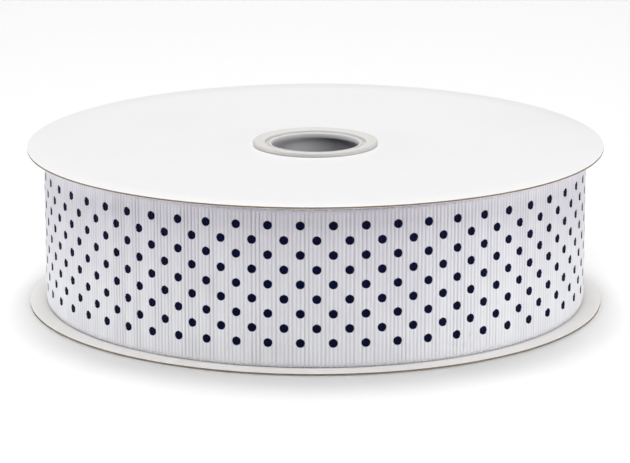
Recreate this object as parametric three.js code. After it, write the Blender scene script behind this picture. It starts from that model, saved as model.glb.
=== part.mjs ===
// Roll of printed grosgrain ribbon on a card and plastic reel.
// Millimetres, +Z up. The reel stands on its lower hub flange, with its axis on Z.
import * as THREE from 'three';

// Ribbon
const ribbonWidth = 38;
const ribbonThickness = 0.3;
const rollRadius = 67.5;
const selvedgeWidth = 1.2;
const selvedgeInset = 0.12;

// Card discs, which the hub holds in at the middle, so their rims flare out
const cardRadius = 71.6;
const cardThickness = 0.5;
const cardBow = 0.45;
const lowerCardFlare = 0.7;
const upperCardFlare = 0.95;

// Hub, moulded in two halves
const boreRadius = 10.75;
const barrelInnerRadius = 11.2;
const barrelOuterRadius = 12.5;
const flangeRadius = 15.6;
const flangeThickness = 0.6;
const rimThickness = 0.35;
const flatOuterRadius = 15.1;
const flatInnerRadius = 13.9;
const slopeRadius = 12.6;
const slopeDrop = 0.2;
const grooveRadius = 12.1;
const grooveDrop = 0.4;
const lipRadius = 11.6;
const lipDrop = 0.2;
const lipDepth = 0.7;
const throatDepth = 0.65;
const throatStep = 0.2;

// Room between touching pieces, and under the hub's flange
const clearance = 0.3;
const flangeClearance = 0.2;

// How finely round pieces are drawn
const rollSegments = 180;
const cardSegments = 144;
const hubSegments = 72;

// Heights above the surface, stacked from the bottom up, the cards' as they are at the hub
const flangeRise = flangeClearance + flangeThickness;
const lowerCardBottom = flangeRise;
const lowerCardTop = lowerCardBottom + cardThickness;
const innerRibbonBottom = lowerCardTop + clearance;
const ribbonBottom = innerRibbonBottom - lowerCardFlare * flareShare(rollRadius);
const ribbonTop = ribbonBottom + ribbonWidth;
const upperCardBottom = ribbonTop + clearance + cardBow - upperCardFlare;
const upperCardTop = upperCardBottom + cardThickness;
const innerRibbonTop = upperCardBottom - clearance;
const hubTop = upperCardTop + flangeRise;

// Angle behind the roll where the outer turn ends, from +X
const cutEndAngle = THREE.MathUtils.degToRad(105);
const cutEndWidth = 0.4;

// The finish of each kind of piece
const ribbonFinish = { color: 0xe6e5ea, roughness: 0.85, metalness: 0 };
const cardFinish = { color: 0xf3f2f1, roughness: 0.6, metalness: 0 };
const hubFinish = { color: 0xdcdcdc, roughness: 0.35, metalness: 0 };

// How much of a card's flare is reached at a radius: none at the hub's flange, all at the rim.
function flareShare(radius) {
  return Math.max(0, (radius - flangeRadius) / (cardRadius - flangeRadius));
}

// A closed ring: its section goes anticlockwise, from the outer wall's foot, in radius and height.
function turnedRing(section, segments) {
  const outline = section.map(([radius, height]) => new THREE.Vector2(radius, height));
  outline.push(outline[0].clone());
  const geometry = new THREE.LatheGeometry(outline, segments);
  geometry.rotateX(Math.PI / 2);
  return geometry;
}

// Moves each point of a geometry by a function that changes the vector it is given.
function reshape(geometry, change) {
  const positions = geometry.attributes.position;
  const point = new THREE.Vector3();
  for (let i = 0; i < positions.count; i += 1) {
    point.fromBufferAttribute(positions, i);
    change(point);
    positions.setXYZ(i, point.x, point.y, point.z);
  }
  geometry.computeVertexNormals();
  return geometry;
}

function namedPiece(name, geometry, finish) {
  const mesh = new THREE.Mesh(geometry, new THREE.MeshStandardMaterial(finish));
  mesh.name = name;
  return mesh;
}

// The wound ribbon. Its outer turn steps in by one thickness where the cut end lies,
// and its thinner selvedges stand a little back from the ribbed face. The turns near
// the hub are pressed in between the cards.
function ribbonWinding() {
  const innerRadius = barrelOuterRadius + clearance;
  const section = [
    [rollRadius - selvedgeInset, ribbonBottom],
    [rollRadius, ribbonBottom + selvedgeWidth],
    [rollRadius, ribbonTop - selvedgeWidth],
    [rollRadius - selvedgeInset, ribbonTop],
    [flangeRadius, innerRibbonTop],
    [innerRadius, innerRibbonTop],
    [innerRadius, innerRibbonBottom],
    [flangeRadius, innerRibbonBottom],
  ];
  const geometry = turnedRing(section, rollSegments);
  const step = (Math.PI * 2) / rollSegments;
  const endStep = cutEndWidth / rollRadius;
  const stretch = (Math.PI * 2 - endStep) / (Math.PI * 2 - step);
  return reshape(geometry, (point) => {
    const radius = Math.hypot(point.x, point.y);
    const turned = THREE.MathUtils.euclideanModulo(Math.atan2(point.y, point.x), Math.PI * 2);
    const column = Math.round(turned / step) % rollSegments;
    const angle = column * step * stretch;
    const wound = (angle / (Math.PI * 2)) * ribbonThickness;
    const newRadius = radius > flangeRadius + 1 ? radius - wound : radius;
    point.x = newRadius * Math.cos(cutEndAngle + angle);
    point.y = newRadius * Math.sin(cutEndAngle + angle);
  });
}

// A die-cut card disc with its lower face at a height at the hub. The flare raises its rim
// and the bow lowers its left and right sides.
function cardDisc(bottom, flare, bow) {
  const top = bottom + cardThickness;
  const rings = bow > 0 ? [rollRadius, cardRadius * 0.75, cardRadius * 0.5] : [];
  const radii = [cardRadius, ...rings, flangeRadius, barrelOuterRadius + clearance];
  const section = [
    ...[...radii].reverse().map((radius) => [radius, bottom]),
    ...radii.map((radius) => [radius, top]),
  ];
  return reshape(turnedRing(section, cardSegments), (point) => {
    point.z += flare * flareShare(Math.hypot(point.x, point.y));
    point.z -= bow * (point.x / cardRadius) ** 2;
  });
}

// The quarter ellipse that takes the hub's top down into the bore.
function roundedLip(top) {
  const steps = 4;
  return Array.from({ length: steps + 1 }, (_, i) => {
    const turned = ((i / steps) * Math.PI) / 2;
    const radius = lipRadius - (lipRadius - boreRadius) * Math.sin(turned);
    return [radius, top - lipDepth * (1 - Math.cos(turned))];
  });
}

// Half of the hub, its flange up. Heights are counted from the card's outer face,
// and the half barrel reaches down by the given depth.
function hubHalf(barrelDepth) {
  const top = flangeRise;
  const section = [
    [barrelOuterRadius, -barrelDepth],
    [barrelOuterRadius, flangeClearance],
    [flangeRadius, flangeClearance],
    [flangeRadius, flangeClearance + rimThickness],
    [flatOuterRadius, top],
    [flatInnerRadius, top],
    [slopeRadius, top - slopeDrop],
    [grooveRadius, top - grooveDrop],
    ...roundedLip(top - lipDrop),
    [boreRadius, -throatDepth],
    [barrelInnerRadius, -throatDepth - throatStep],
    [barrelInnerRadius, -barrelDepth],
  ];
  return turnedRing(section, hubSegments);
}

const barrelDepth = hubTop / 2 - clearance / 2 - flangeRise;

const roll = new THREE.Group();
roll.add(namedPiece('ribbon_winding', ribbonWinding(), ribbonFinish));
roll.add(namedPiece('card_disc_upper', cardDisc(upperCardBottom, upperCardFlare, cardBow), cardFinish));
roll.add(namedPiece('card_disc_lower', cardDisc(lowerCardBottom, -lowerCardFlare, 0), cardFinish));

const hubUpper = namedPiece('hub_half_upper', hubHalf(barrelDepth), hubFinish);
hubUpper.position.z = upperCardTop;
roll.add(hubUpper);

const hubLower = namedPiece('hub_half_lower', hubHalf(barrelDepth), hubFinish);
hubLower.rotation.x = Math.PI;
hubLower.position.z = lowerCardBottom;
roll.add(hubLower);

export default roll;
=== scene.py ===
# Roll of white grosgrain ribbon with navy dots, on a reel of card discs and a plastic hub.
import math

import bmesh
import bpy
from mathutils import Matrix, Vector, noise


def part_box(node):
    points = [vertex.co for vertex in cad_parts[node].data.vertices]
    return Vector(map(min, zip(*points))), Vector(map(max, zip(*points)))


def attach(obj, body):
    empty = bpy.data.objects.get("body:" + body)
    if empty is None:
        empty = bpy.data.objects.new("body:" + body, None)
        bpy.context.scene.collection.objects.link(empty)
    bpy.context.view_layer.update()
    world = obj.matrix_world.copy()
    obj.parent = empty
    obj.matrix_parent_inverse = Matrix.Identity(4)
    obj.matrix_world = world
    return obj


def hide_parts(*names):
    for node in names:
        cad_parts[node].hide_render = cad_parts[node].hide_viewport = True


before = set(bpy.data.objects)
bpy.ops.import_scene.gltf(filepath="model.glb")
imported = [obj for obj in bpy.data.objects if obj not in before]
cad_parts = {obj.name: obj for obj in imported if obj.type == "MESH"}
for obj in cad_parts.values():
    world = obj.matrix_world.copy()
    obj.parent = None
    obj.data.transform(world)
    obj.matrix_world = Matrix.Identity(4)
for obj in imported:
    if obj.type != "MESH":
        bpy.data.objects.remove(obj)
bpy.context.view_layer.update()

mm = 0.001
fullTurn = 2 * math.pi


def linearColour(hexValue):
    parts = [int(hexValue[i : i + 2], 16) / 255 for i in (1, 3, 5)]
    return tuple(p / 12.92 if p <= 0.04045 else ((p + 0.055) / 1.055) ** 2.4 for p in parts) + (1.0,)


def addNode(tree, kind, links=None, **settings):
    # links takes a value, a socket, or a node whose first output is meant;
    # a colour Mix has its two colours on inputs 6 and 7 and the result on output 2
    node = tree.nodes.new(kind)
    for name, value in settings.items():
        setattr(node, name, value)
    for socket, value in (links or {}).items():
        if isinstance(value, bpy.types.Node):
            value = value.outputs[0]
        if isinstance(value, bpy.types.NodeSocket):
            tree.links.new(value, node.inputs[socket])
        else:
            node.inputs[socket].default_value = value
    return node


def newMaterial(name):
    material = bpy.data.materials.new(name)
    material.use_nodes = True
    tree = material.node_tree
    tree.nodes.clear()
    shader = addNode(tree, "ShaderNodeBsdfPrincipled")
    addNode(tree, "ShaderNodeOutputMaterial", {"Surface": shader})
    return material, tree, shader


# Where the pieces stand, from the frame
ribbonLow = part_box("ribbon_winding")[0]
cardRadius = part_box("card_disc_upper")[1].x
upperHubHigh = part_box("hub_half_upper")[1]
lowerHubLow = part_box("hub_half_lower")[0]
ribbonWidth = 38 * mm
ribbonMiddle = ribbonLow.z + ribbonWidth / 2
hubFlangeRadius = upperHubHigh.x
hubMiddle = upperHubHigh.z / 2
# both flanges stand a little higher over their cards than the solids' do, and the upper one
# a hair over the top of its solid
flangeRise = 1.1 * mm
upperFlangeLift = 0.1 * mm
upperCardFace = upperHubHigh.z + upperFlangeLift - flangeRise
lowerCardFace = lowerHubLow.z + flangeRise

# What the ribbon's print, its ribs and its winding share
rollRadius = 67.5 * mm
ribsATurn = 448
dotsATurn = 56
cutEndAzimuth = math.radians(105)

# Camera: the view of the photograph, from a little above the rim
cameraPlace = {
    "lens": 184.5,
    "distance": 0.81,
    "elevation": 13.97,
    "aimRight": -0.09 * mm,
    "aimBelowMiddle": 3.32 * mm,
}


def setCamera():
    camera = bpy.data.objects.new("camera", bpy.data.cameras.new("camera"))
    bpy.context.collection.objects.link(camera)
    camera.data.sensor_width = 36
    camera.data.lens = cameraPlace["lens"]
    camera.data.clip_start = 0.01
    rise = math.radians(cameraPlace["elevation"])
    aim = Vector((cameraPlace["aimRight"], 0, ribbonMiddle - cameraPlace["aimBelowMiddle"]))
    camera.location = aim + cameraPlace["distance"] * Vector((0, -math.cos(rise), math.sin(rise)))
    camera.rotation_euler = (math.pi / 2 - rise, 0, 0)
    bpy.context.scene.camera = camera


setCamera()
print("camera set")

# Studio: a white sweep, three softboxes behind and two before the roll, which throw the
# short shadow in front of it, and low ones at the sides that give it its bright flanks.
studio = {
    "floorColour": "#efefef",
    "floorSize": 6.0,
    "skyStrength": 0.03,
    # name, angle to the right of the camera's side, elevation, distance, size, watts
    "softboxes": (
        ("overheadBack", 180, 80, 1.6, 0.64, 6.9),
        ("backKey", 180, 71, 1.6, 0.75, 11.3),
        ("backLow", 180, 50, 1.0, 0.4, 1.0),
        ("frontHigh", 0, 62, 1.0, 0.4, 2.2),
        ("frontLow", 0, 50, 1.0, 0.4, 2.31),
        ("sideRight", 90, 5, 1.5, 0.3, 6.4),
        ("sideLeft", -92, 5, 1.5, 0.3, 12.3),
        ("lowFill", 45, 5, 1.5, 0.3, 5.9),
    ),
}


def lightStudio():
    world = bpy.data.worlds.new("studio")
    world.use_nodes = True
    tree = world.node_tree
    tree.nodes.clear()
    background = addNode(tree, "ShaderNodeBackground", {
        "Color": (1, 1, 1, 1), "Strength": studio["skyStrength"]})
    addNode(tree, "ShaderNodeOutputWorld", {"Surface": background})
    bpy.context.scene.world = world

    for name, turn, rise, distance, size, watts in studio["softboxes"]:
        light = bpy.data.lights.new(name, "AREA")
        light.energy = watts
        light.size = size
        lamp = bpy.data.objects.new(name, light)
        turn, rise = math.radians(turn), math.radians(rise)
        reach = distance * math.cos(rise)
        lamp.location = (reach * math.sin(turn), -reach * math.cos(turn), distance * math.sin(rise))
        towardsRoll = Vector((0, 0, ribbonMiddle)) - lamp.location
        lamp.rotation_euler = towardsRoll.to_track_quat("-Z", "Y").to_euler()
        bpy.context.collection.objects.link(lamp)

    half = studio["floorSize"] / 2
    mesh = bpy.data.meshes.new("floor")
    corners = [(-half, -half, 0), (half, -half, 0), (half, half, 0), (-half, half, 0)]
    mesh.from_pydata(corners, [], [(0, 1, 2, 3)])
    floor = bpy.data.objects.new("floor", mesh)
    bpy.context.collection.objects.link(floor)
    material, tree, shader = newMaterial("paperSweep")
    shader.inputs["Base Color"].default_value = linearColour(studio["floorColour"])
    shader.inputs["Roughness"].default_value = 0.9
    shader.inputs["Specular IOR Level"].default_value = 0.0
    mesh.materials.append(material)

    scene = bpy.context.scene
    scene.view_settings.view_transform = "Standard"
    scene.view_settings.look = "None"


lightStudio()
print("studio lit")

# Polyester grosgrain: warp-faced cloth whose thick filling cords stand up as cross ribs.
# It gives the eye fine upright ribs, a soft sheen and flat, sharp navy dots.
# Sizes are in millimetres on the cloth; along it they count from the front, across it from
# the lower edge. The warp is drawn coarser than its real 0.1 mm, which is too fine to show.
grosgrainFinish = {
    "cloth": "#eaebee",
    "clothShade": "#d7d6dc",
    # painted shade for the rib valleys and for both edges of the cloth
    "valley": "#adabb4",
    # painted shade towards the upper edge, also used for the darker band
    "darkTint": "#d7d2da",
    "ink": "#010420",
    "inkWorn": "#080c33",
    "dotDiameter": 2.12,
    "dotPitch": fullTurn * rollRadius / mm / dotsATurn,
    "dotRaggedness": 0.12,
    "dotSoftness": 0.05,
    "rowPitch": 3.5,
    "rowCount": 9,
    "lowestRow": 5.58,
    "printStart": 1.1,
    "ribPitch": fullTurn * rollRadius / mm / ribsATurn,
    "warpPitch": 0.24,
    "warpHeight": 0.25,
    # noise patterns, in repeats a millimetre of cloth
    "raggedScale": 2.2,
    "mottleScale": 0.09,
    "loopScale": (1.1, 2.4, 1.0),
    "fibreScale": 4.0,
    # how much of its second colour each of these takes, from none to all
    "shadeShare": 0.5,
    "singleRibShare": 0.2,
    "wornShare": 0.6,
    "valleyShadeShare": 0.52,
    "edgeShadeShare": (0.35, 1.0),
    "upperShadeShare": 0.64,
    "patchShare": 0.14,
    # where the painted shade begins across the cloth, and the darker band's place and reach along it
    "upperShadeFrom": 6.0,
    "patchPlace": 20.0,
    "patchReach": (15.0, 4.0),
    # bump strength and depth, then roughness, gloss and sheen, bare and inked
    "bump": (0.18, 0.05 * mm),
    "surface": {
        "Roughness": (0.72, 0.6), "Specular IOR Level": (0.3, 0.05), "Sheen Weight": (0.12, 0.0)},
}


def grosgrainMaterial():
    f = grosgrainFinish
    material, tree, shader = newMaterial("polyesterGrosgrain")
    uv = addNode(tree, "ShaderNodeUVMap", uv_map="UVMap")
    place = addNode(tree, "ShaderNodeVectorMath", {0: uv, 1: (1000, 1000, 1000)}, operation="MULTIPLY")
    spots = addNode(tree, "ShaderNodeVectorMath", {
        0: place, 1: (f["printStart"], f["lowestRow"], 0)}, operation="SUBTRACT")
    cell = (f["dotPitch"], f["rowPitch"] * 2, 1)
    repeats = addNode(tree, "ShaderNodeVectorMath", {0: spots, 1: cell}, operation="DIVIDE")
    # two square grids, half a repeat apart, make the rows step sideways
    distances = []
    for shift in ((0.0, 0.5, 0.5), (0.5, 0.0, 0.5)):
        moved = addNode(tree, "ShaderNodeVectorMath", {0: repeats, 1: shift}, operation="ADD")
        part = addNode(tree, "ShaderNodeVectorMath", {0: moved}, operation="FRACTION")
        centred = addNode(tree, "ShaderNodeVectorMath", {
            0: part, 1: (0.5, 0.5, 0.5)}, operation="SUBTRACT")
        sized = addNode(tree, "ShaderNodeVectorMath", {
            0: centred, 1: (cell[0], cell[1], 0)}, operation="MULTIPLY")
        fromDot = addNode(tree, "ShaderNodeVectorMath", {0: sized}, operation="LENGTH")
        distances.append(fromDot.outputs["Value"])
    nearest = addNode(tree, "ShaderNodeMath", {
        0: distances[0], 1: distances[1]}, operation="MINIMUM")
    ragged = addNode(tree, "ShaderNodeTexNoise", {
        "Vector": place, "Scale": f["raggedScale"], "Detail": 3.0})
    edge = addNode(tree, "ShaderNodeMath", {
        0: ragged, 1: f["dotRaggedness"], 2: nearest}, operation="MULTIPLY_ADD")
    # the noise lies about a half, so the dot is drawn larger by half its raggedness
    radius = f["dotDiameter"] / 2 + f["dotRaggedness"] / 2
    ink = addNode(tree, "ShaderNodeMapRange", {
        "Value": edge, "From Min": radius + f["dotSoftness"], "From Max": radius - f["dotSoftness"]})
    across = addNode(tree, "ShaderNodeSeparateXYZ", {0: place}).outputs["Y"]
    lowest = addNode(tree, "ShaderNodeMath", {
        0: across, 1: f["lowestRow"] - f["rowPitch"] / 2}, operation="GREATER_THAN")
    highest = addNode(tree, "ShaderNodeMath", {
        0: across, 1: f["lowestRow"] + f["rowPitch"] * (f["rowCount"] - 0.5)}, operation="LESS_THAN")
    printSide = addNode(tree, "ShaderNodeAttribute", attribute_name="printSide").outputs["Fac"]
    inside = addNode(tree, "ShaderNodeMath", {0: lowest, 1: highest}, operation="MULTIPLY")
    printed = addNode(tree, "ShaderNodeMath", {0: inside, 1: printSide}, operation="MULTIPLY")
    inkMask = addNode(tree, "ShaderNodeMath", {0: ink, 1: printed}, operation="MULTIPLY")

    along = addNode(tree, "ShaderNodeSeparateXYZ", {0: place}).outputs["X"]
    valley = addNode(tree, "ShaderNodeAttribute", attribute_name="ribValley").outputs["Fac"]
    # one rib in a few lies a little darker than its neighbours
    ribNumber = addNode(tree, "ShaderNodeMath", {0: along, 1: 1 / f["ribPitch"]}, operation="MULTIPLY")
    ribFloor = addNode(tree, "ShaderNodeMath", {0: ribNumber}, operation="FLOOR")
    ribTone = addNode(tree, "ShaderNodeTexWhiteNoise", {"W": ribFloor}, noise_dimensions="1D")
    mottle = addNode(tree, "ShaderNodeTexNoise", {
        "Vector": place, "Scale": f["mottleScale"], "Detail": 3.0})
    toneSum = addNode(tree, "ShaderNodeMath", {
        0: ribTone, 1: f["singleRibShare"], 2: mottle}, operation="MULTIPLY_ADD")
    tone = addNode(tree, "ShaderNodeMapRange", {
        "Value": toneSum, "From Min": 0.35, "From Max": 0.95, "To Max": f["shadeShare"]})
    cloth = addNode(tree, "ShaderNodeMix", {
        "Factor": tone, 6: linearColour(f["cloth"]), 7: linearColour(f["clothShade"])},
        data_type="RGBA")
    # painted shade darkens the valleys between the ribs
    paintedValleyShade = addNode(tree, "ShaderNodeMath", {0: valley, 1: f["valleyShadeShare"]}, operation="MULTIPLY")
    ribbed = addNode(tree, "ShaderNodeMix", {
        "Factor": paintedValleyShade, 6: cloth.outputs[2], 7: linearColour(f["valley"])}, data_type="RGBA")
    # the selvedge's edge loops are uneven, and painted shade darkens them along both edges, where the
    # cloth meets the cards
    edgeMask = addNode(tree, "ShaderNodeAttribute", attribute_name="selvedge").outputs["Fac"]
    loopPlace = addNode(tree, "ShaderNodeVectorMath", {
        0: place, 1: f["loopScale"]}, operation="MULTIPLY")
    loops = addNode(tree, "ShaderNodeTexNoise", {"Vector": loopPlace, "Scale": 1.0, "Detail": 2.0})
    leastLoop, mostLoop = f["edgeShadeShare"]
    edgeShadeLoops = addNode(tree, "ShaderNodeMapRange", {
        "Value": loops, "From Min": 0.38, "From Max": 0.62, "To Min": leastLoop, "To Max": mostLoop})
    edgeShade = addNode(tree, "ShaderNodeMath", {0: edgeMask, 1: edgeShadeLoops}, operation="MULTIPLY")
    edged = addNode(tree, "ShaderNodeMix", {
        "Factor": edgeShade, 6: ribbed.outputs[2], 7: linearColour(f["valley"])}, data_type="RGBA")
    # painted shade darkens the cloth towards its upper edge, and a band right of the front is drawn
    # darker
    upperShade = addNode(tree, "ShaderNodeMapRange", {
        "Value": across, "From Min": f["upperShadeFrom"], "From Max": ribbonWidth / mm,
        "To Max": f["upperShadeShare"]})
    fromPatch = addNode(tree, "ShaderNodeMath", {0: along, 1: f["patchPlace"]}, operation="SUBTRACT")
    patchSide = addNode(tree, "ShaderNodeMath", {0: fromPatch}, operation="ABSOLUTE")
    patchEdge, patchCore = f["patchReach"]
    patchTone = addNode(tree, "ShaderNodeMapRange", {
        "Value": patchSide, "From Min": patchEdge, "From Max": patchCore, "To Max": f["patchShare"]})
    darkening = addNode(tree, "ShaderNodeMath", {0: upperShade, 1: patchTone}, operation="ADD")
    darkened = addNode(tree, "ShaderNodeMix", {
        "Factor": darkening, 6: edged.outputs[2], 7: linearColour(f["darkTint"])},
        data_type="RGBA", blend_type="MULTIPLY")
    inkTone = addNode(tree, "ShaderNodeMapRange", {
        "Value": valley, "To Min": f["wornShare"], "To Max": 0.0})
    inkColour = addNode(tree, "ShaderNodeMix", {
        "Factor": inkTone, 6: linearColour(f["ink"]), 7: linearColour(f["inkWorn"])}, data_type="RGBA")
    colour = addNode(tree, "ShaderNodeMix", {
        "Factor": inkMask, 6: darkened.outputs[2], 7: inkColour.outputs[2]}, data_type="RGBA")
    tree.links.new(colour.outputs[2], shader.inputs["Base Color"])

    # warp threads over the ribs, with loose fibres
    warpTurns = addNode(tree, "ShaderNodeMath", {
        0: across, 1: fullTurn / f["warpPitch"]}, operation="MULTIPLY")
    warpWave = addNode(tree, "ShaderNodeMath", {0: warpTurns}, operation="SINE")
    fibre = addNode(tree, "ShaderNodeTexNoise", {
        "Vector": place, "Scale": f["fibreScale"], "Detail": 4.0})
    weave = addNode(tree, "ShaderNodeMath", {
        0: warpWave, 1: f["warpHeight"], 2: fibre}, operation="MULTIPLY_ADD")
    strength, depth = f["bump"]
    bump = addNode(tree, "ShaderNodeBump", {"Height": weave, "Strength": strength, "Distance": depth})
    tree.links.new(bump.outputs[0], shader.inputs["Normal"])
    for socket, (bare, inked) in f["surface"].items():
        change = addNode(tree, "ShaderNodeMapRange", {
            "Value": inkMask, "To Min": bare, "To Max": inked})
        tree.links.new(change.outputs[0], shader.inputs[socket])
    shader.inputs["Sheen Roughness"].default_value = 0.4
    return material


# Coated greyboard: clay-coated white faces over a brown-grey recycled middle.
# It gives the eye a smooth white face with a thin raw line round its rim. Sizes are in
# millimetres; single fibres are too fine to show, so patches of them are drawn.
cardFinish = {
    "face": "#eae9ea",
    "faceGrey": "#e2e1e2",
    "lining": "#faf8f5",
    "liningGrey": "#f1eeea",
    "core": "#8c7d69",
    "coreDark": "#6a5d4b",
    "cloudSize": 45.5,
    "fibrePatch": 2.4,
    "plyHeight": 0.12,
    "plyLength": 3.846,
    "smudgeShare": 0.5,
    "roughness": (0.38, 0.58),
    # bump strength and depth
    "faceBump": (0.12, 0.04 * mm),
    "edgeBump": (0.4, 0.06 * mm),
}


def coatedCardMaterial(name, face, faceGrey):
    f = cardFinish
    material, tree, shader = newMaterial(name)
    place = addNode(tree, "ShaderNodeTexCoord").outputs["Object"]
    cloud = addNode(tree, "ShaderNodeTexNoise", {
        "Vector": place, "Scale": 1000 / f["cloudSize"], "Detail": 5.0})
    smudge = addNode(tree, "ShaderNodeMapRange", {
        "Value": cloud, "From Min": 0.42, "From Max": 0.8, "To Max": f["smudgeShare"]})
    colour = addNode(tree, "ShaderNodeMix", {
        "Factor": smudge, 6: linearColour(face), 7: linearColour(faceGrey)}, data_type="RGBA")
    tree.links.new(colour.outputs[2], shader.inputs["Base Color"])
    fibre = addNode(tree, "ShaderNodeTexNoise", {
        "Vector": place, "Scale": 1000 / f["fibrePatch"], "Detail": 4.0})
    strength, depth = f["faceBump"]
    bump = addNode(tree, "ShaderNodeBump", {"Height": fibre, "Strength": strength, "Distance": depth})
    tree.links.new(bump.outputs[0], shader.inputs["Normal"])
    glossy, matt = f["roughness"]
    rough = addNode(tree, "ShaderNodeMapRange", {"Value": cloud, "To Min": glossy, "To Max": matt})
    tree.links.new(rough.outputs[0], shader.inputs["Roughness"])
    return material


def rawEdgeMaterial():
    f = cardFinish
    material, tree, shader = newMaterial("dieCutBoardEdge")
    place = addNode(tree, "ShaderNodeTexCoord").outputs["Object"]
    # plies lie flat, so the pattern is drawn out along the rim
    length, height = f["plyLength"], f["plyHeight"]
    drawn = addNode(tree, "ShaderNodeVectorMath", {
        0: place, 1: (1000 / length, 1000 / length, 1000 / height)}, operation="MULTIPLY")
    fibre = addNode(tree, "ShaderNodeTexNoise", {"Vector": drawn, "Scale": 1.0, "Detail": 4.0})
    tone = addNode(tree, "ShaderNodeMapRange", {
        "Value": fibre, "From Min": 0.35, "From Max": 0.65, "To Max": 0.8})
    colour = addNode(tree, "ShaderNodeMix", {
        "Factor": tone, 6: linearColour(f["core"]), 7: linearColour(f["coreDark"])}, data_type="RGBA")
    tree.links.new(colour.outputs[2], shader.inputs["Base Color"])
    strength, depth = f["edgeBump"]
    bump = addNode(tree, "ShaderNodeBump", {"Height": fibre, "Strength": strength, "Distance": depth})
    tree.links.new(bump.outputs[0], shader.inputs["Normal"])
    shader.inputs["Roughness"].default_value = 0.9
    shader.inputs["Specular IOR Level"].default_value = 0.2
    return material


# Milky polypropylene, injection moulded: a waxy half-gloss, pale where it lies over the white
# card, with painted shade on its rim, groove and throat, and painted light and shade in the
# thin-walled bore. Radii are in millimetres, and each tone comes in between the two of its
# reach; the groove's count from its middle.
hubFinish = {
    "milky": "#d4d2cf",
    # painted shade for the rim, the groove and the throat
    "rim": "#c2c0be",
    "groove": "#c8c6c4",
    "throat": "#c6c6c8",
    "borePaintedLight": "#ececef",
    "borePaintedShade": "#98989e",
    "rimReach": (14.95, 15.45),
    "grooveRadius": 12.08,
    "grooveReach": (0.56, 0.42),
    "throatReach": (11.2, 10.82),
    "throatDepth": 1.7,
    "boreReach": (-5.0, 5.0),
    "flowSize": 3.846,
    "roughness": (0.42, 0.56),
    "bump": (0.1, 0.05 * mm),
}


def hubMaterial():
    f = hubFinish
    material, tree, shader = newMaterial("milkyPolypropylene")
    place = addNode(tree, "ShaderNodeTexCoord").outputs["Object"]
    flat = addNode(tree, "ShaderNodeVectorMath", {0: place, 1: (1000, 1000, 0)}, operation="MULTIPLY")
    radius = addNode(tree, "ShaderNodeVectorMath", {0: flat}, operation="LENGTH").outputs["Value"]
    placeParts = addNode(tree, "ShaderNodeSeparateXYZ", {0: place}).outputs
    fromGroove = addNode(tree, "ShaderNodeMath", {
        0: radius, 1: f["grooveRadius"]}, operation="SUBTRACT")
    grooveSide = addNode(tree, "ShaderNodeMath", {0: fromGroove}, operation="ABSOLUTE")
    # painted shade greys the rounded rim where it meets the card, the groove round the lip, and the lip
    # where it turns down into the throat
    outsideTone = linearColour(f["milky"])
    for part, reach in (("rim", radius), ("groove", grooveSide), ("throat", radius)):
        start, end = f[part + "Reach"]
        mask = addNode(tree, "ShaderNodeMapRange", {"Value": reach, "From Min": start, "From Max": end})
        outsideTone = addNode(tree, "ShaderNodeMix", {
            "Factor": mask, 6: outsideTone, 7: linearColour(f[part])}, data_type="RGBA").outputs[2]
    # inside the bore, painted light makes the wall's left side lighter and painted shade darkens its
    # right side
    fromMiddle = addNode(tree, "ShaderNodeMath", {
        0: placeParts["Z"], 1: hubMiddle}, operation="SUBTRACT")
    away = addNode(tree, "ShaderNodeMath", {0: fromMiddle}, operation="ABSOLUTE")
    boreMask = addNode(tree, "ShaderNodeMath", {
        0: away, 1: hubMiddle - f["throatDepth"] * mm}, operation="LESS_THAN")
    start, end = f["boreReach"]
    sideTone = addNode(tree, "ShaderNodeMapRange", {
        "Value": placeParts["X"], "From Min": start * mm, "From Max": end * mm})
    bore = addNode(tree, "ShaderNodeMix", {
        "Factor": sideTone, 6: linearColour(f["borePaintedLight"]), 7: linearColour(f["borePaintedShade"])},
        data_type="RGBA")
    colour = addNode(tree, "ShaderNodeMix", {
        "Factor": boreMask, 6: outsideTone, 7: bore.outputs[2]}, data_type="RGBA")
    tree.links.new(colour.outputs[2], shader.inputs["Base Color"])
    flow = addNode(tree, "ShaderNodeTexNoise", {
        "Vector": place, "Scale": 1000 / f["flowSize"], "Detail": 3.0})
    strength, depth = f["bump"]
    bump = addNode(tree, "ShaderNodeBump", {"Height": flow, "Strength": strength, "Distance": depth})
    tree.links.new(bump.outputs[0], shader.inputs["Normal"])
    glossy, matt = f["roughness"]
    rough = addNode(tree, "ShaderNodeMapRange", {"Value": flow, "To Min": glossy, "To Max": matt})
    tree.links.new(rough.outputs[0], shader.inputs["Roughness"])
    shader.inputs["IOR"].default_value = 1.49
    shader.inputs["Specular IOR Level"].default_value = 0.3
    return material


ribbonCloth = grosgrainMaterial()
coatedCard = coatedCardMaterial("clayCoatedCard", cardFinish["face"], cardFinish["faceGrey"])
liningCard = coatedCardMaterial("plainLinedCard", cardFinish["lining"], cardFinish["liningGrey"])
rawEdge = rawEdgeMaterial()
milkyPlastic = hubMaterial()
print("finishes mixed")


def sizedTree(name, sizes):
    # a geometry tree with one named input for each size
    tree = bpy.data.node_groups.new(name, "GeometryNodeTree")
    tree.interface.new_socket("Geometry", in_out="OUTPUT", socket_type="NodeSocketGeometry")
    identifiers = {}
    for label, value in sizes.items():
        kind = "NodeSocketInt" if isinstance(value, int) else "NodeSocketFloat"
        socket = tree.interface.new_socket(label, in_out="INPUT", socket_type=kind)
        identifiers[label] = socket.identifier
    return tree, addNode(tree, "NodeGroupInput").outputs, identifiers


def endTree(tree, geometry, material):
    smooth = addNode(tree, "GeometryNodeSetShadeSmooth", {"Geometry": geometry})
    real = addNode(tree, "GeometryNodeRealizeInstances", {"Geometry": smooth})
    finished = addNode(tree, "GeometryNodeSetMaterial", {"Geometry": real, "Material": material})
    addNode(tree, "NodeGroupOutput", {0: finished})


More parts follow.
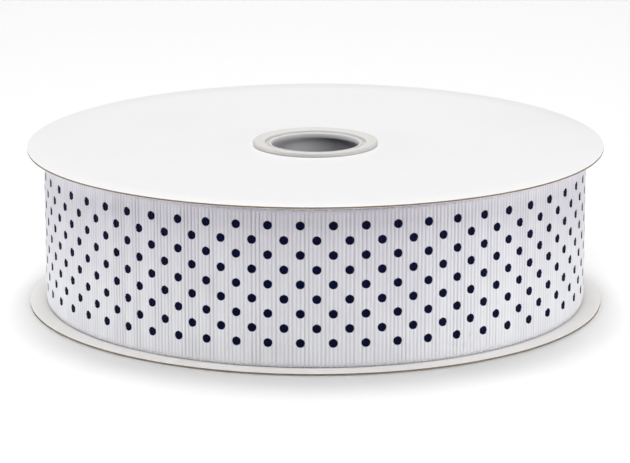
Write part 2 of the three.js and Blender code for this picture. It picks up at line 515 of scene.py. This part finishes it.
def treePiece(name, tree, identifiers, sizes):
    # runs the tree and keeps its result as a plain mesh
    piece = bpy.data.objects.new(name, bpy.data.meshes.new(name))
    bpy.context.collection.objects.link(piece)
    modifier = piece.modifiers.new("shape", "NODES")
    modifier.node_group = tree
    for label, value in sizes.items():
        modifier[identifiers[label]] = value
    depsgraph = bpy.context.evaluated_depsgraph_get()
    piece.data = bpy.data.meshes.new_from_object(piece.evaluated_get(depsgraph), depsgraph=depsgraph)
    piece.data.name = name
    piece.modifiers.remove(modifier)
    faceOutwards(piece.data)
    return piece


def faceOutwards(mesh):
    work = bmesh.new()
    work.from_mesh(mesh)
    bmesh.ops.recalc_face_normals(work, faces=work.faces)
    work.to_mesh(mesh)
    work.free()


# The ribbon's outer turn: one strip from its cut end, once round and a little under itself.
# The cloth's own angle counts from the front; it is stretched a little against the roll's.
outerTurn = {
    "Roll radius": rollRadius,
    "Thickness": 0.29 * mm,
    "Pitch": 0.302 * mm,
    "Width": 37.72 * mm,
    "Middle height": ribbonMiddle - 0.32 * mm,
    "Ribs a turn": ribsATurn,
    "Ribs": 457,
    "Cut end rib": -206,
    "First dot angle": math.radians(0.935),
    "Print height": -0.28 * mm,
    "Print wander": 0.59 * mm,
    "Columns a rib": 5,
    "Rows": 32,
    "Rib height": 0.2 * mm,
    "Valley sharpness": 3.0,
    "Shallowest valley": 0.5,
    "Deepest valley": 1.25,
    "Selvedge": 1.3 * mm,
    "Selvedge inset": 0.1 * mm,
    "Selvedge ribs": 0.25,
    "Bare edge": 0.3 * mm,
    "Edge reach": 0.55 * mm,
    "Edge inset": 0.1 * mm,
    "Loop reach": 1.1 * mm,
    "Section squareness": 0.25,
    "Scallop": 0.1 * mm,
    "Wave": 0.06 * mm,
    "Wave repeats": 2.5,
    "Edge wave": 0.12 * mm,
    "Edge wave repeats": 6.0,
}
# how far the cloth has crept along the roll: angle in degrees, creep in thousandths of a radian
creepRange = (-20, 60)
clothCreep = ((-180, -4), (-100, -5), (-72, -5), (-48, -2), (-30, -5.5), (-11, -12.3), (12, -9.4),
              (30, -7), (46, -1.5), (60, 20), (73, 38), (92, 46), (140, 30), (180, -4), (220, -4))


def drawCurve(node, points):
    curve = node.mapping.curves[0]
    while len(curve.points) < len(points):
        curve.points.new(0.5, 0.5)
    for spot, (along, value) in zip(curve.points, points):
        spot.location = (along, value)
    node.mapping.update()


def ribbonOuterTurn():
    sizes = outerTurn
    tree, given, identifiers = sizedTree("ribbonOuterTurn", sizes)

    columns = addNode(tree, "ShaderNodeMath", {
        0: given["Ribs"], 1: given["Columns a rib"]}, operation="MULTIPLY")
    columnPoints = addNode(tree, "ShaderNodeMath", {0: columns, 1: 1.0}, operation="ADD")
    rowPoints = addNode(tree, "ShaderNodeMath", {0: given["Rows"], 1: 1.0}, operation="ADD")
    grid = addNode(tree, "GeometryNodeMeshGrid", {
        "Size X": 1.0, "Size Y": 1.0, "Vertices X": columnPoints, "Vertices Y": rowPoints})
    spot = addNode(tree, "GeometryNodeInputPosition")
    spotParts = addNode(tree, "ShaderNodeSeparateXYZ", {0: spot}).outputs
    along = addNode(tree, "ShaderNodeMath", {0: spotParts["X"], 1: 0.5}, operation="ADD")
    around = addNode(tree, "ShaderNodeMath", {0: spotParts["Y"], 1: 0.5}, operation="ADD")

    # where the strip has got to: ribs from its cut end, turns, and the cloth's angle
    ribPlace = addNode(tree, "ShaderNodeMath", {0: along, 1: given["Ribs"]}, operation="MULTIPLY")
    turned = addNode(tree, "ShaderNodeMath", {
        0: ribPlace, 1: given["Ribs a turn"]}, operation="DIVIDE")
    ribFromDot = addNode(tree, "ShaderNodeMath", {
        0: ribPlace, 1: given["Cut end rib"]}, operation="ADD")
    ribAngle = addNode(tree, "ShaderNodeMath", {
        0: fullTurn, 1: given["Ribs a turn"]}, operation="DIVIDE")
    clothAngle = addNode(tree, "ShaderNodeMath", {
        0: ribFromDot, 1: ribAngle, 2: given["First dot angle"]}, operation="MULTIPLY_ADD")

    # the creep's curve runs from 0 to 1 both ways, so its points are brought into that range
    startAngle, endAngle = clothCreep[0][0], clothCreep[-1][0]
    least, most = creepRange
    creepPlace = addNode(tree, "ShaderNodeMapRange", {
        "Value": clothAngle, "From Min": math.radians(startAngle),
        "From Max": math.radians(endAngle)})
    creepCurve = addNode(tree, "ShaderNodeFloatCurve", {"Value": creepPlace})
    wholeAngle, wholeCreep = endAngle - startAngle, most - least
    drawCurve(creepCurve, [((angle - startAngle) / wholeAngle, (creep - least) / wholeCreep)
                           for angle, creep in clothCreep])
    creep = addNode(tree, "ShaderNodeMapRange", {
        "Value": creepCurve, "To Min": least / 1000, "To Max": most / 1000})
    crept = addNode(tree, "ShaderNodeMath", {0: clothAngle, 1: creep}, operation="ADD")
    azimuth = addNode(tree, "ShaderNodeMath", {0: crept, 1: fullTurn / 4}, operation="SUBTRACT")

    # the strip's section is a very square oval, walked once round by the rows
    section = addNode(tree, "ShaderNodeMath", {0: around, 1: fullTurn}, operation="MULTIPLY")
    halves = []
    for trigonometry in ("COSINE", "SINE"):
        wave = addNode(tree, "ShaderNodeMath", {0: section}, operation=trigonometry)
        snapped = addNode(tree, "ShaderNodeMath", {0: wave, 1: 1e-5}, operation="SNAP")
        size = addNode(tree, "ShaderNodeMath", {0: snapped}, operation="ABSOLUTE")
        square = addNode(tree, "ShaderNodeMath", {
            0: size, 1: given["Section squareness"]}, operation="POWER")
        side = addNode(tree, "ShaderNodeMath", {0: snapped}, operation="SIGN")
        halves.append(addNode(tree, "ShaderNodeMath", {0: square, 1: side}, operation="MULTIPLY"))
    across, outward = halves
    outside = addNode(tree, "ShaderNodeMath", {0: outward, 1: 0.0}, operation="GREATER_THAN")
    halfWidth = addNode(tree, "ShaderNodeMath", {0: given["Width"], 1: 0.5}, operation="MULTIPLY")
    halfThick = addNode(tree, "ShaderNodeMath", {
        0: given["Thickness"], 1: 0.5}, operation="MULTIPLY")

    # both cut ends close to a line one column long
    fromStart = addNode(tree, "ShaderNodeMath", {0: along, 1: columns}, operation="MULTIPLY")
    fromEnd = addNode(tree, "ShaderNodeMath", {0: columns, 1: fromStart}, operation="SUBTRACT")
    nearerEnd = addNode(tree, "ShaderNodeMath", {0: fromStart, 1: fromEnd}, operation="MINIMUM")
    body = addNode(tree, "ShaderNodeMath", {0: nearerEnd, 1: 1.0}, operation="MINIMUM")

    # ribs: broad round backs with narrow valleys of uneven depth, fading at the selvedges
    ribShare = addNode(tree, "ShaderNodeMath", {0: ribPlace}, operation="FRACT")
    fromCrest = addNode(tree, "ShaderNodeMath", {
        0: ribShare, 1: 2.0, 2: -1.0}, operation="MULTIPLY_ADD")
    crestDistance = addNode(tree, "ShaderNodeMath", {0: fromCrest}, operation="ABSOLUTE")
    valley = addNode(tree, "ShaderNodeMath", {
        0: crestDistance, 1: given["Valley sharpness"]}, operation="POWER")
    valleyNumber = addNode(tree, "ShaderNodeMath", {0: ribPlace}, operation="ROUND")
    uneven = addNode(tree, "ShaderNodeTexWhiteNoise", {"W": valleyNumber}, noise_dimensions="1D")
    depthShare = addNode(tree, "ShaderNodeMapRange", {
        "Value": uneven.outputs["Value"], "To Min": given["Shallowest valley"],
        "To Max": given["Deepest valley"]})
    valleyDepth = addNode(tree, "ShaderNodeMath", {0: valley, 1: depthShare}, operation="MULTIPLY")
    fromMiddle = addNode(tree, "ShaderNodeMath", {0: across}, operation="ABSOLUTE")
    inwards = addNode(tree, "ShaderNodeMath", {0: 1.0, 1: fromMiddle}, operation="SUBTRACT")
    edgeDistance = addNode(tree, "ShaderNodeMath", {0: inwards, 1: halfWidth}, operation="MULTIPLY")
    ribFade = addNode(tree, "ShaderNodeMapRange", {
        "Value": edgeDistance, "From Min": given["Bare edge"], "From Max": given["Selvedge"],
        "To Min": given["Selvedge ribs"]}, interpolation_type="SMOOTHSTEP")
    fadedDepth = addNode(tree, "ShaderNodeMath", {0: valleyDepth, 1: ribFade}, operation="MULTIPLY")
    valleyShown = addNode(tree, "ShaderNodeMath", {0: fadedDepth, 1: outside}, operation="MULTIPLY")
    ribSink = addNode(tree, "ShaderNodeMath", {
        0: valleyShown, 1: given["Rib height"]}, operation="MULTIPLY")
    selvedgeShare = addNode(tree, "ShaderNodeMath", {0: 1.0, 1: ribFade}, operation="SUBTRACT")
    selvedgeSink = addNode(tree, "ShaderNodeMath", {
        0: selvedgeShare, 1: given["Selvedge inset"]}, operation="MULTIPLY")
    edgeShare = addNode(tree, "ShaderNodeMapRange", {
        "Value": edgeDistance, "From Min": given["Edge reach"], "From Max": 0.0})
    edgeSink = addNode(tree, "ShaderNodeMath", {
        0: edgeShare, 1: given["Edge inset"]}, operation="MULTIPLY")
    clothSink = addNode(tree, "ShaderNodeMath", {0: ribSink, 1: selvedgeSink}, operation="ADD")
    sink = addNode(tree, "ShaderNodeMath", {0: clothSink, 1: edgeSink}, operation="ADD")

    # the winding: the radius shrinks by one turn's pitch each time round, with a slight wave
    cosine = addNode(tree, "ShaderNodeMath", {0: azimuth}, operation="COSINE")
    sine = addNode(tree, "ShaderNodeMath", {0: azimuth}, operation="SINE")
    ringSpot = addNode(tree, "ShaderNodeCombineXYZ", {0: cosine, 1: sine, 2: across})
    slack = addNode(tree, "ShaderNodeTexNoise", {
        "Vector": ringSpot, "Scale": given["Wave repeats"], "Detail": 2.0})
    slackOff = addNode(tree, "ShaderNodeMath", {0: slack, 1: 0.5}, operation="SUBTRACT")
    slackWave = addNode(tree, "ShaderNodeMath", {
        0: slackOff, 1: given["Wave"]}, operation="MULTIPLY")
    outerRadius = addNode(tree, "ShaderNodeMath", {
        0: given["Roll radius"], 1: halfThick}, operation="SUBTRACT")
    woundIn = addNode(tree, "ShaderNodeMath", {0: turned, 1: given["Pitch"]}, operation="MULTIPLY")
    woundRadius = addNode(tree, "ShaderNodeMath", {
        0: outerRadius, 1: woundIn}, operation="SUBTRACT")
    wavyRadius = addNode(tree, "ShaderNodeMath", {0: woundRadius, 1: slackWave}, operation="ADD")
    faceLift = addNode(tree, "ShaderNodeMath", {0: outward, 1: halfThick}, operation="MULTIPLY")
    relief = addNode(tree, "ShaderNodeMath", {0: faceLift, 1: sink}, operation="SUBTRACT")
    bodyRelief = addNode(tree, "ShaderNodeMath", {0: relief, 1: body}, operation="MULTIPLY")
    radius = addNode(tree, "ShaderNodeMath", {0: wavyRadius, 1: bodyRelief}, operation="ADD")

    # weft loops scallop the edge at each rib, and the edge itself runs a little up and down
    edgeSide = addNode(tree, "ShaderNodeMath", {0: across}, operation="SIGN")
    scallop = addNode(tree, "ShaderNodeMath", {
        0: valley, 1: given["Scallop"]}, operation="MULTIPLY")
    edgeScallop = addNode(tree, "ShaderNodeMath", {0: scallop, 1: edgeShare}, operation="MULTIPLY")
    notch = addNode(tree, "ShaderNodeMath", {0: edgeScallop, 1: edgeSide}, operation="MULTIPLY")
    drift = addNode(tree, "ShaderNodeTexNoise", {
        "Vector": ringSpot, "Scale": given["Edge wave repeats"], "Detail": 2.0})
    driftOff = addNode(tree, "ShaderNodeMath", {0: drift, 1: 0.5}, operation="SUBTRACT")
    driftWave = addNode(tree, "ShaderNodeMath", {
        0: driftOff, 1: given["Edge wave"]}, operation="MULTIPLY")
    flatHeight = addNode(tree, "ShaderNodeMath", {
        0: across, 1: halfWidth, 2: given["Middle height"]}, operation="MULTIPLY_ADD")
    notchedHeight = addNode(tree, "ShaderNodeMath", {0: flatHeight, 1: notch}, operation="SUBTRACT")
    height = addNode(tree, "ShaderNodeMath", {0: notchedHeight, 1: driftWave}, operation="ADD")
    targetX = addNode(tree, "ShaderNodeMath", {0: cosine, 1: radius}, operation="MULTIPLY")
    targetY = addNode(tree, "ShaderNodeMath", {0: sine, 1: radius}, operation="MULTIPLY")
    target = addNode(tree, "ShaderNodeCombineXYZ", {0: targetX, 1: targetY, 2: height})

    # the cloth's own map, in metres along and across, zero at the front and the lower edge;
    # the printed rows wander a little up and down it
    twice = addNode(tree, "ShaderNodeMath", {0: clothAngle, 1: 2.0}, operation="MULTIPLY")
    rowWave = addNode(tree, "ShaderNodeMath", {0: twice}, operation="COSINE")
    printLift = addNode(tree, "ShaderNodeMath", {
        0: rowWave, 1: given["Print wander"], 2: given["Print height"]}, operation="MULTIPLY_ADD")
    fromEdge = addNode(tree, "ShaderNodeMath", {
        0: across, 1: halfWidth, 2: halfWidth}, operation="MULTIPLY_ADD")
    mapAlong = addNode(tree, "ShaderNodeMath", {
        0: clothAngle, 1: given["Roll radius"]}, operation="MULTIPLY")
    mapAcross = addNode(tree, "ShaderNodeMath", {0: fromEdge, 1: printLift}, operation="SUBTRACT")
    clothMap = addNode(tree, "ShaderNodeCombineXYZ", {0: mapAlong, 1: mapAcross})
    nearEdge = addNode(tree, "ShaderNodeMapRange", {
        "Value": edgeDistance, "From Min": given["Loop reach"], "From Max": 0.1 * mm})
    strip = addNode(tree, "GeometryNodeStoreNamedAttribute", {
        "Geometry": grid, "Name": "UVMap", "Value": clothMap}, data_type="FLOAT2", domain="CORNER")
    for mark, value in (("printSide", outside), ("ribValley", valleyShown), ("selvedge", nearEdge)):
        strip = addNode(tree, "GeometryNodeStoreNamedAttribute", {
            "Geometry": strip, "Name": mark, "Value": value}, data_type="FLOAT", domain="POINT")
    wound = addNode(tree, "GeometryNodeSetPosition", {"Geometry": strip, "Position": target})
    merged = addNode(tree, "GeometryNodeMergeByDistance", {
        "Geometry": wound, "Distance": 0.001 * mm})
    endTree(tree, merged, ribbonCloth)
    return treePiece("ribbon_outer_turn", tree, identifiers, sizes)


# The turns below it, one thin strip wound to the hub, pressed in there between the cards
innerTurns = {
    "Outer radius": outerTurn["Roll radius"] - outerTurn["Thickness"] / 2
        - outerTurn["Pitch"] * (outerTurn["Ribs"] + 1) / outerTurn["Ribs a turn"],
    "Inner radius": 12.85 * mm,
    "Pitch": outerTurn["Pitch"],
    "Thickness": outerTurn["Thickness"],
    "Width": outerTurn["Width"] - 0.1 * mm,
    "Middle height": outerTurn["Middle height"],
    "Steps a turn": 72,
    "Unevenness": 0.12 * mm,
    "Uneven repeats a metre": 900.0,
    "Pressed up": 1.05 * mm,
    "Pressed down": 0.35 * mm,
    "Pressed radius": hubFlangeRadius,
    "Start angle": cutEndAzimuth + fullTurn * outerTurn["Ribs"] / outerTurn["Ribs a turn"],
}


def ribbonInnerTurns():
    sizes = innerTurns
    tree, given, identifiers = sizedTree("ribbonInnerTurns", sizes)

    depth = addNode(tree, "ShaderNodeMath", {
        0: given["Outer radius"], 1: given["Inner radius"]}, operation="SUBTRACT")
    turns = addNode(tree, "ShaderNodeMath", {0: depth, 1: given["Pitch"]}, operation="DIVIDE")
    path = addNode(tree, "GeometryNodeCurveSpiral", {
        "Resolution": given["Steps a turn"], "Rotations": turns,
        "Start Radius": given["Outer radius"], "End Radius": given["Inner radius"], "Height": 0.0})
    section = addNode(tree, "GeometryNodeCurvePrimitiveQuadrilateral", {
        "Width": given["Thickness"], "Height": given["Width"]})
    strip = addNode(tree, "GeometryNodeCurveToMesh", {
        "Curve": path, "Profile Curve": section, "Fill Caps": True})
    turnVector = addNode(tree, "ShaderNodeCombineXYZ", {2: given["Start angle"]})
    turnedStrip = addNode(tree, "GeometryNodeTransform", {"Geometry": strip, "Rotation": turnVector})
    # turns never pack quite level, so each lies a hair higher or lower than the next
    spot = addNode(tree, "GeometryNodeInputPosition")
    level = addNode(tree, "ShaderNodeVectorMath", {0: spot, 1: (1, 1, 0)}, operation="MULTIPLY")
    uneven = addNode(tree, "ShaderNodeTexNoise", {
        "Vector": level, "Scale": given["Uneven repeats a metre"], "Detail": 1.0})
    unevenOff = addNode(tree, "ShaderNodeMath", {0: uneven, 1: 0.5}, operation="SUBTRACT")
    rise = addNode(tree, "ShaderNodeMath", {
        0: unevenOff, 1: given["Unevenness"]}, operation="MULTIPLY")
    # the nearer the hub, the more both edges are pressed in
    reach = addNode(tree, "ShaderNodeVectorMath", {0: level}, operation="LENGTH").outputs["Value"]
    pressed = addNode(tree, "ShaderNodeMapRange", {
        "Value": reach, "From Min": given["Outer radius"], "From Max": given["Pressed radius"]})
    height = addNode(tree, "ShaderNodeSeparateXYZ", {0: spot}).outputs["Z"]
    upperEdge = addNode(tree, "ShaderNodeMath", {0: height, 1: 0.0}, operation="GREATER_THAN")
    lowerEdge = addNode(tree, "ShaderNodeMath", {0: 1.0, 1: upperEdge}, operation="SUBTRACT")
    upperPress = addNode(tree, "ShaderNodeMath", {0: upperEdge, 1: pressed}, operation="MULTIPLY")
    lowerPress = addNode(tree, "ShaderNodeMath", {0: lowerEdge, 1: pressed}, operation="MULTIPLY")
    down = addNode(tree, "ShaderNodeMath", {
        0: upperPress, 1: given["Pressed down"]}, operation="MULTIPLY")
    up = addNode(tree, "ShaderNodeMath", {
        0: lowerPress, 1: given["Pressed up"]}, operation="MULTIPLY")
    press = addNode(tree, "ShaderNodeMath", {0: up, 1: down}, operation="SUBTRACT")
    stand = addNode(tree, "ShaderNodeMath", {0: rise, 1: given["Middle height"]}, operation="ADD")
    lift = addNode(tree, "ShaderNodeMath", {0: press, 1: stand}, operation="ADD")
    offset = addNode(tree, "ShaderNodeCombineXYZ", {2: lift})
    settled = addNode(tree, "GeometryNodeSetPosition", {"Geometry": turnedStrip, "Offset": offset})
    endTree(tree, settled, ribbonCloth)
    return treePiece("ribbon_inner_turns", tree, identifiers, sizes)


outerPiece = ribbonOuterTurn()
innerPiece = ribbonInnerTurns()
for piece in (outerPiece, innerPiece):
    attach(piece, "root")
    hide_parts("ribbon_winding")
print("ribbon wound:", len(outerPiece.data.polygons), "and", len(innerPiece.data.polygons), "faces")


def turnedPiece(name, section, segments, materials, reshape=None):
    # section: (radius, height, material of the stretch up to the next point), anticlockwise
    count = len(section)
    points = []
    for radius, height, _ in section:
        for step in range(segments):
            angle = fullTurn * step / segments
            point = Vector((radius * math.cos(angle), radius * math.sin(angle), height))
            points.append(reshape(point) if reshape else point)
    faces = []
    faceMaterials = []
    for ring in range(count):
        following = (ring + 1) % count
        for step in range(segments):
            ahead = (step + 1) % segments
            faces.append((ring * segments + step, ring * segments + ahead,
                          following * segments + ahead, following * segments + step))
            faceMaterials.append(section[ring][2])
    mesh = bpy.data.meshes.new(name)
    mesh.from_pydata(points, [], faces)
    for material in materials:
        mesh.materials.append(material)
    mesh.polygons.foreach_set("material_index", faceMaterials)
    mesh.polygons.foreach_set("use_smooth", [True] * len(faces))
    faceOutwards(mesh)
    mesh.set_sharp_from_angle(angle=math.radians(38))
    piece = bpy.data.objects.new(name, mesh)
    bpy.context.collection.objects.link(piece)
    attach(piece, "root")
    return piece


# The card discs
cards = {
    "thickness": 0.5 * mm,
    "holeRadius": 12.6 * mm,
    "lowerLiner": 0.08 * mm,
    "upperLiner": 0.03 * mm,
    "rounding": 0.1 * mm,
    "rimGap": 0.03 * mm,
    "rimBevel": (0.03 * mm, 0.02 * mm),
    "rimBulge": 0.01 * mm,
    "waviness": 0.05 * mm,
    "wavesAcross": 1.3,
    "rimWander": 0.05 * mm,
    "wandersAcross": 9,
    "upper": {
        "flare": 1.07 * mm, "flareEnd": cardRadius, "bow": 0.45 * mm, "tilt": 0.12 * mm, "seed": 3.0},
    "lower": {"flare": -1.0 * mm, "flareEnd": 67 * mm, "bow": 0.0, "tilt": 0.0, "seed": 11.0},
    "segments": 360,
    "rings": 9,
}
# the card's materials, and the number by which a face takes each
cardLayers = [coatedCard, liningCard, rawEdge]
coated, lined, core = 0, 1, 2


def cardSection(bottom, lowerFace, upperFace):
    c = cards
    top = bottom + c["thickness"]
    rim = cardRadius - c["rimGap"]
    bevelIn, bevelDown = c["rimBevel"]
    flatEnd = rim - c["rounding"]
    flatWidth = flatEnd - c["holeRadius"]
    innerRings = [c["holeRadius"] + flatWidth * i / c["rings"] for i in range(c["rings"] + 1)]
    lower = [(radius, bottom, lowerFace) for radius in innerRings]
    edge = [
        (rim - bevelIn, bottom + bevelDown, lowerFace),
        (rim, bottom + c["lowerLiner"], core),
        (rim + c["rimBulge"], bottom + c["thickness"] * 0.4, core),
        (rim, bottom + c["thickness"] * 0.7, core),
        (rim, top - c["upperLiner"], upperFace),
        (rim - bevelIn, top - bevelDown, upperFace),
    ]
    upper = [(radius, top, upperFace) for radius in reversed(innerRings)]
    upper[-1] = (c["holeRadius"], top, core)
    return lower + edge + upper


def cardDisc(name, node, bottom, faces, form):
    c = cards

    def reshape(point):
        radius = math.hypot(point.x, point.y)
        way = Vector((point.x, point.y, 0)) / cardRadius
        share = radius / cardRadius
        waves = noise.noise(way * c["wavesAcross"] + Vector((0, 0, form["seed"])))
        ripple = waves * c["waviness"] * share ** 2
        # the hub's flange holds the card in, and it springs out from there
        sprung = (radius - hubFlangeRadius) / (form["flareEnd"] - hubFlangeRadius)
        flare = form["flare"] * min(1, max(0, sprung))
        rise = flare + form["tilt"] * way.x - form["bow"] * way.x ** 2 + ripple
        wander = 0
        if share > 0.99:
            wanders = noise.noise(way * c["wandersAcross"] + Vector((0, 0, form["seed"] + 5)))
            wander = wanders * c["rimWander"]
        return point + Vector((way.x * wander, way.y * wander, rise))

    piece = turnedPiece(name, cardSection(bottom, *faces), c["segments"], cardLayers, reshape)
    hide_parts(node)
    return piece


cardDisc("card_upper", "card_disc_upper", upperCardFace - cards["thickness"], (lined, coated),
         cards["upper"])
cardDisc("card_lower", "card_disc_lower", lowerCardFace, (coated, lined), cards["lower"])
print("cards cut")

# The hub's two halves. Radius and height above the card's outer face, in millimetres:
# the flange's rounded wall and crest, a groove, the lip, and the throat with its step.
hub = {
    "profile": (
        (12.5, 0.02), (15.4, 0.02), (15.53, 0.12), (15.58, 0.3), (15.6, 0.5), (15.55, 0.72),
        (15.45, 0.88), (15.28, 1.02), (15.05, 1.09), (14.8, 1.1), (14.2, 1.05), (13.6, 0.98),
        (13.0, 0.89), (12.62, 0.82), (12.5, 0.68), (12.44, 0.44), (12.34, 0.24), (12.1, 0.16),
        (11.86, 0.22), (11.74, 0.38), (11.62, 0.5), (11.46, 0.56), (11.26, 0.55), (11.08, 0.44),
        (10.92, 0.22), (10.82, -0.05), (10.77, -0.3), (10.75, -0.6), (10.77, -0.66),
        (10.84, -0.69), (11.9, -0.73),
    ),
    "barrelRadius": 12.5 * mm,
    "innerRadius": 11.9 * mm,
    "barrelGap": 0.1 * mm,
    "segments": 192,
}


def hubHalf(name, node, cardFace, upwards):
    sign = 1 if upwards else -1
    barrelEnd = hubMiddle + sign * hub["barrelGap"]
    section = [(hub["barrelRadius"], barrelEnd, 0)]
    section += [(radius * mm, cardFace + sign * height * mm, 0) for radius, height in hub["profile"]]
    section.append((hub["innerRadius"], barrelEnd, 0))
    piece = turnedPiece(name, section, hub["segments"], [milkyPlastic])
    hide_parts(node)
    return piece


hubHalf("hub_upper", "hub_half_upper", upperCardFace, True)
hubHalf("hub_lower", "hub_half_lower", lowerCardFace, False)
print("hub moulded")
